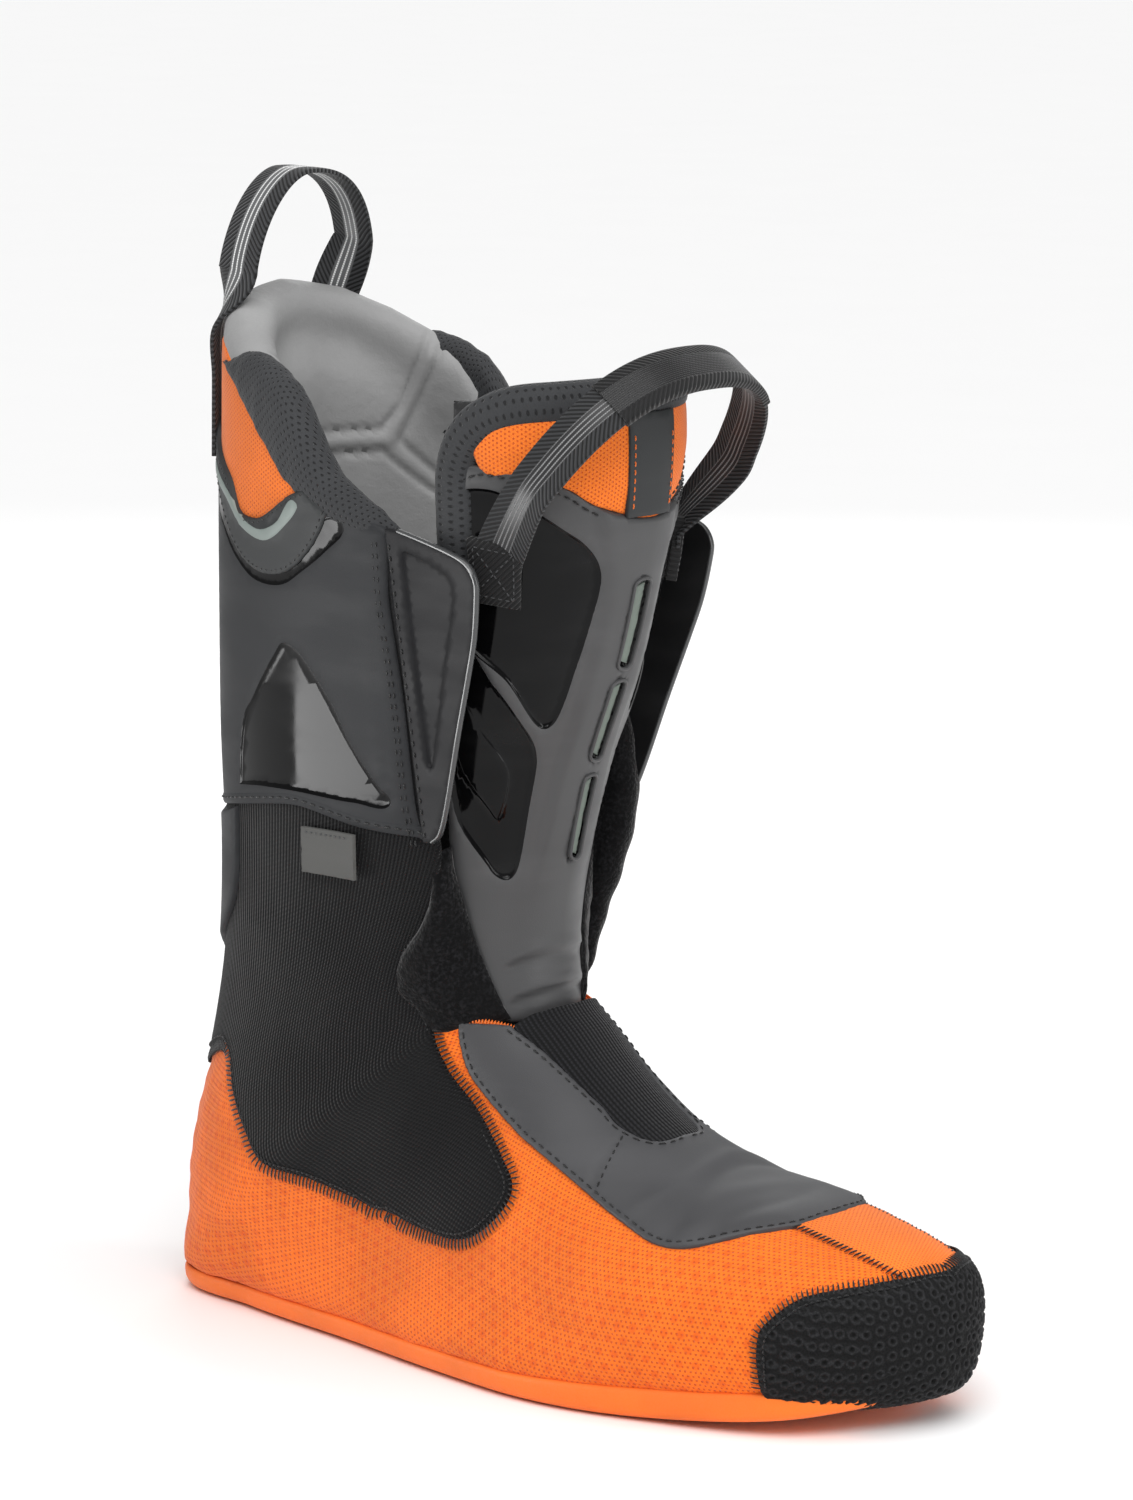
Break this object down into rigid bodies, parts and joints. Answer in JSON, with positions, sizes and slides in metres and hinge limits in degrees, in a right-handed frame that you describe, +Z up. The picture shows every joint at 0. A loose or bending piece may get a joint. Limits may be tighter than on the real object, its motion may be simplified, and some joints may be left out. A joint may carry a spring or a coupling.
{
  "type": "ski boot liner",
  "caption": "Removable padded inner boot for a ski boot: high cuff, front tongue with moulded shield, side flaps, pull loops and a flat foam sole.",
  "frame": {"origin": "on the flat underside of the sole, below the lower leg", "axes": "+X towards the toe, +Y towards the inner side of the leg (the wearer's left), +Z up"},
  "size_m": [0.291, 0.1137, 0.3566],
  "materials": {
    "orange_sole_foam": "moulded foam, satin",
    "board": "pressed fibre board",
    "footbed_foam": "soft foam with a felt top",
    "black_foam": "closed cell foam, matt",
    "counter_plastic": "thin sheet, matt",
    "grey_foam": "moulded closed cell foam, matt",
    "fleece": "brushed fleece",
    "orange_mesh": "knitted mesh",
    "toe_fabric": "fabric with printed rubber rings",
    "grey_synthetic": "smooth coated synthetic leather",
    "black_elastic": "ribbed elastic",
    "black_knit": "fine ribbed knit",
    "moulded_plastic": "satin with gloss windows",
    "patch_fabric": "stitched coated fabric",
    "padded_binding": "padded spacer mesh",
    "label_fabric": "woven label",
    "webbing": "woven webbing with a silver band",
    "webbing_sleeve": "coated sleeve",
    "slot_insert": "satin"
  },
  "bodies": {
    "liner": {"ankle_foam_lateral": "black_foam", "ankle_foam_medial": "black_foam", "ankle_panel_lateral": "black_knit", "ankle_panel_medial": "black_knit", "calf_foam": "grey_foam", "collar_binding_lateral": "padded_binding", "collar_binding_medial": "padded_binding", "collar_mesh_lateral": "orange_mesh", "collar_mesh_medial": "orange_mesh", "collar_patch_lateral": "patch_fabric", "collar_patch_medial": "patch_fabric", "cuff_foam_lateral": "black_foam", "cuff_foam_medial": "black_foam", "cuff_panel_lateral": "moulded_plastic", "cuff_panel_medial": "moulded_plastic", "footbed": "footbed_foam", "forefoot_foam_lateral": "black_foam", "forefoot_foam_medial": "black_foam", "heel_counter": "counter_plastic", "heel_foam": "black_foam", "lining_lateral": "fleece", "lining_medial": "fleece", "mesh_quarter_lateral": "orange_mesh", "mesh_quarter_medial": "orange_mesh", "rear_loop_anchor": "webbing", "rear_plate": "moulded_plastic", "sole": "orange_sole_foam", "sole_board": "board", "throat_gusset_lateral": "fleece", "throat_gusset_medial": "fleece", "toe_box_foam": "black_foam", "toe_cap": "toe_fabric", "toe_top_panel": "orange_mesh", "vamp_gore": "black_elastic", "vamp_overlay": "grey_synthetic"},
    "tongue": {"tongue_foam": "black_foam", "tongue_lining": "fleece", "tongue_shield": "moulded_plastic", "tongue_top_mesh": "orange_mesh", "tongue_binding": "padded_binding", "tongue_tab": "label_fabric", "tongue_slot_inserts": "slot_insert", "tongue_loop_patches": "webbing"},
    "tongue_loop": {"tongue_loop": "webbing", "tongue_loop_sleeve": "webbing_sleeve"},
    "wing_lateral": {"wing_lateral": "moulded_plastic"},
    "wing_medial": {"wing_medial": "moulded_plastic"},
    "size_tag": {"size_tag": "label_fabric"},
    "rear_loop": {"rear_loop": "webbing"}
  },
  "joints": [
    {"name": "tongue_hinge", "type": "hinge", "parent": "liner", "child": "tongue", "pos_m": [0.004, 0, 0.1045], "axis": [0, 1, 0], "range_deg": [-2, 40], "stiffness_Nm_per_rad": 1.2},
    {"name": "tongue_loop_swing", "type": "hinge", "parent": "tongue", "child": "tongue_loop", "pos_m": [0.015, 0, 0.252], "axis": [0, 1, 0], "range_deg": [-6, 60], "stiffness_Nm_per_rad": 0.05},
    {"name": "wing_lateral_hinge", "type": "hinge", "parent": "liner", "child": "wing_lateral", "pos_m": [-0.015, -0.0426, 0.162], "axis": [0.0732, 0.0899, -0.9933], "range_deg": [0, 70], "stiffness_Nm_per_rad": 0.15},
    {"name": "wing_medial_hinge", "type": "hinge", "parent": "liner", "child": "wing_medial", "pos_m": [-0.015, 0.0426, 0.162], "axis": [-0.0732, 0.0899, 0.9933], "range_deg": [-9, 70], "stiffness_Nm_per_rad": 0.15},
    {"name": "rear_loop_swing", "type": "hinge", "parent": "liner", "child": "rear_loop", "pos_m": [-0.105, 0, 0.3215], "axis": [0, 1, 0], "range_deg": [-50, 50], "stiffness_Nm_per_rad": 0.05},
    {"name": "size_tag_flap", "type": "hinge", "parent": "liner", "child": "size_tag", "pos_m": [-0.0485, -0.0469, 0.1637], "axis": [-1, 0, 0], "range_deg": [0, 100], "stiffness_Nm_per_rad": 0.002}
  ]
}
